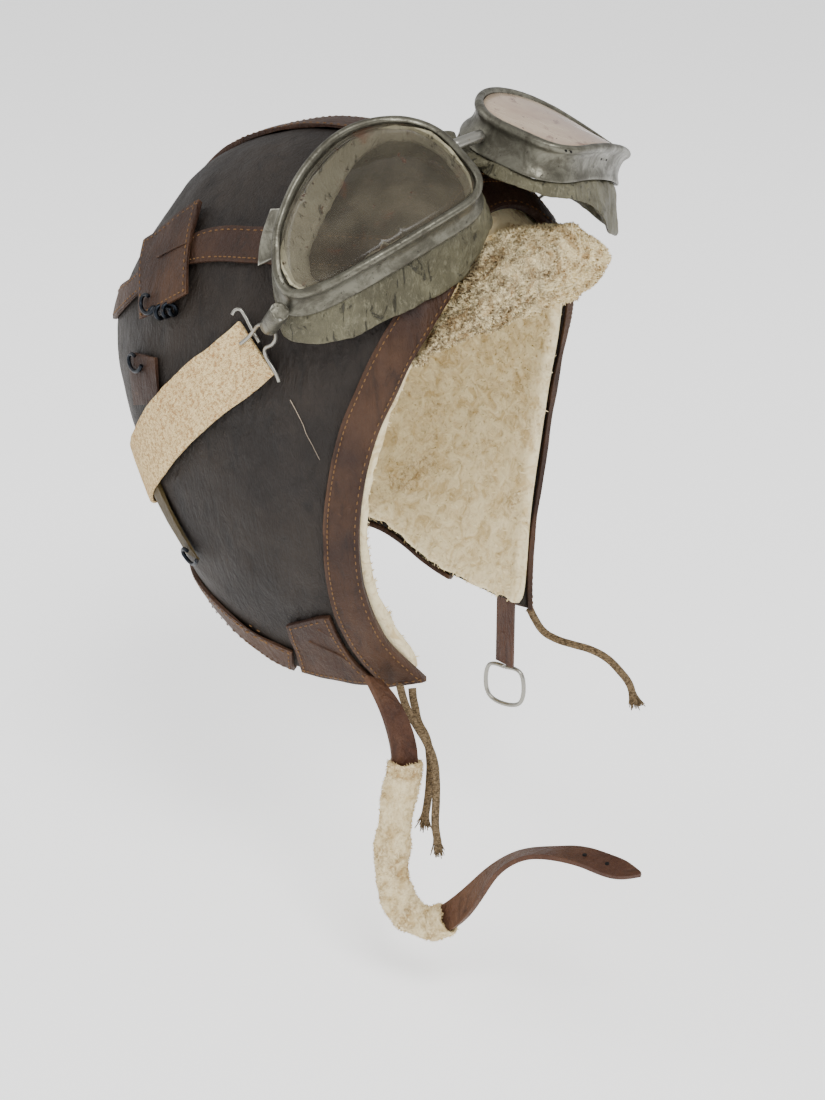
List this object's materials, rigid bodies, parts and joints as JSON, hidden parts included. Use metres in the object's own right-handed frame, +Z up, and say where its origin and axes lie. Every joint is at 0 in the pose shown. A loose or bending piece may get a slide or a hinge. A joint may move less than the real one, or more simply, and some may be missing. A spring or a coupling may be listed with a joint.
{
  "type": "leather flying helmet with goggles",
  "caption": "Close-fitting leather flying helmet lined with shearling, with wide metal goggles pushed up on the brow, elastic strap and chin strap.",
  "frame": {"origin": "top of the wearer's head, on the inside of the crown under its middle", "axes": "+Z up along the head, -Y toward the face, -X toward the wearer's right"},
  "size_m": [0.198, 0.2819, 0.3357],
  "materials": {
    "leather_dark": "worn smooth leather with fine creases",
    "leather_brown": "rubbed brown leather with tan stitches",
    "leather_olive": "dull olive leather",
    "shearling": "soft cream fleece",
    "grey_paint": "chipped grey paint on metal",
    "cushion": "cracked grey-olive covering",
    "glass": "dusty glass",
    "elastic": "cream elastic weave with brown specks",
    "wire": "bright steel",
    "dark_wire": "blue-black wire",
    "strap": "red-brown strap leather",
    "cord": "flat braided cord"
  },
  "bodies": {
    "root": {"crown_right": "leather_dark", "crown_left": "leather_dark", "side_right": "leather_dark", "side_left": "leather_dark", "fleece_lining": "shearling", "fleece_brow": "shearling", "face_binding": "leather_brown", "hem_binding": "leather_brown", "seam_band": "leather_brown", "top_strip": "leather_brown", "corner_patch_right": "leather_brown", "upper_tab_right": "leather_brown", "lower_tab_right": "leather_brown", "nape_strap_right": "leather_olive", "upper_hook_right": "dark_wire", "lower_hook_right": "dark_wire", "nape_hook_right": "dark_wire", "corner_patch_left": "leather_brown", "upper_tab_left": "leather_brown", "lower_tab_left": "leather_brown", "nape_strap_left": "leather_olive", "upper_hook_left": "dark_wire", "lower_hook_left": "dark_wire", "nape_hook_left": "dark_wire", "crown_hook": "wire", "eyecup_right": "grey_paint", "eyecup_left": "grey_paint", "lens_right": "glass", "lens_left": "glass", "cushion_right": "cushion", "cushion_left": "cushion", "cushion_nose": "cushion", "bridge_tube": "wire", "rim_tab": "grey_paint", "temple_tube_right": "grey_paint", "temple_tube_left": "grey_paint", "buckle_right": "wire", "buckle_bar_right": "wire", "buckle_left": "wire", "elastic_strap": "elastic", "chin_strap": "strap", "strap_sleeve": "shearling", "chin_strap_left": "strap", "chin_buckle": "wire", "lace_right_long": "cord", "lace_right_short": "cord", "lace_left": "cord"}
  },
  "joints": []
}
